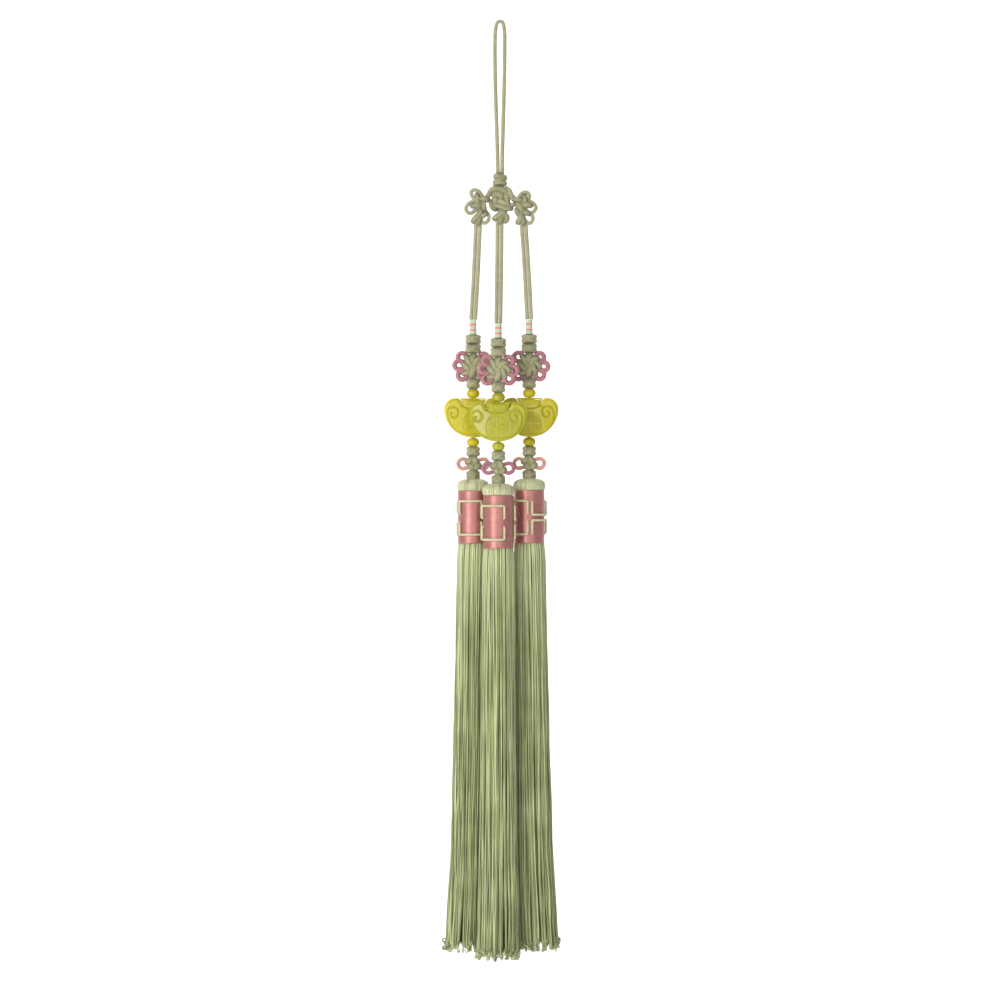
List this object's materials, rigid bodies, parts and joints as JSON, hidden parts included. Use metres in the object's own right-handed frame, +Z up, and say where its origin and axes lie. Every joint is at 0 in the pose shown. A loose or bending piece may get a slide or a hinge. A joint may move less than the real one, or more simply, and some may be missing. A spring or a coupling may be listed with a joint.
{
  "type": "norigae with jade pouches and silk tassels",
  "caption": "Folk jewellery for a jacket's breast tie: a loop of silk cord, woven knots, carved jade pouches between beads, and long tassels in wound silk sleeves.",
  "frame": {"origin": "top of the inside of the hanging loop, where it hangs on what carries it", "axes": "+Z up, -Y to the front, where the middle strand hangs, +X to the viewer's right"},
  "size_m": [0.05, 0.03, 0.4023],
  "materials": {
    "sage_cord": "braided silk cord, satin",
    "sage_knot": "knotted braided silk cord, satin",
    "collar_binding": "whipped silk thread with two pink stripes",
    "petal_silk": "wound silk thread, satin",
    "salmon_silk": "wound silk thread, satin",
    "mauve_silk": "wound silk thread, satin",
    "jade": "carved, polished, lets light through",
    "jade_front": "carved, polished, lets light through",
    "thread": "braided silk cord",
    "tassel_silk": "twisted silk thread",
    "sleeve_silk": "closely wound silk thread, shiny",
    "fret_cord": "twisted silk cord"
  },
  "bodies": {
    "root": {"hanging_loop": "sage_cord", "loop_knot": "sage_knot", "centre_knot": "sage_knot", "drop_knot": "sage_knot", "left_side_flower": "sage_knot", "right_side_flower": "sage_knot", "left_drop_cord_a": "sage_cord", "left_drop_cord_b": "sage_cord", "left_collar": "collar_binding", "left_neck_knot": "sage_knot", "left_flower_knot": "sage_knot", "left_petal_loops": "petal_silk", "left_under_knot": "sage_knot", "left_upper_bead": "jade", "left_pouch": "jade", "left_thread": "thread", "left_lower_bead": "jade", "left_lower_knot": "sage_knot", "left_ginger_knot": "sage_knot", "left_ginger_loops": "salmon_silk", "left_head_knot": "sage_knot", "left_tassel": "tassel_silk", "left_sleeve": "sleeve_silk", "left_fret_cords": "fret_cord", "middle_drop_cord_a": "sage_cord", "middle_drop_cord_b": "sage_cord", "middle_collar": "collar_binding", "middle_neck_knot": "sage_knot", "middle_flower_knot": "sage_knot", "middle_petal_loops": "petal_silk", "middle_under_knot": "sage_knot", "middle_upper_bead": "jade", "middle_pouch": "jade_front", "middle_thread": "thread", "middle_lower_bead": "jade", "middle_lower_knot": "sage_knot", "middle_ginger_knot": "sage_knot", "middle_ginger_loops": "mauve_silk", "middle_head_knot": "sage_knot", "middle_tassel": "tassel_silk", "middle_sleeve": "sleeve_silk", "middle_fret_cords": "fret_cord", "right_drop_cord_a": "sage_cord", "right_drop_cord_b": "sage_cord", "right_collar": "collar_binding", "right_neck_knot": "sage_knot", "right_flower_knot": "sage_knot", "right_petal_loops": "petal_silk", "right_under_knot": "sage_knot", "right_upper_bead": "jade", "right_pouch": "jade", "right_thread": "thread", "right_lower_bead": "jade", "right_lower_knot": "sage_knot", "right_ginger_knot": "sage_knot", "right_ginger_loops": "salmon_silk", "right_head_knot": "sage_knot", "right_tassel": "tassel_silk", "right_sleeve": "sleeve_silk", "right_fret_cords": "fret_cord"}
  },
  "joints": []
}
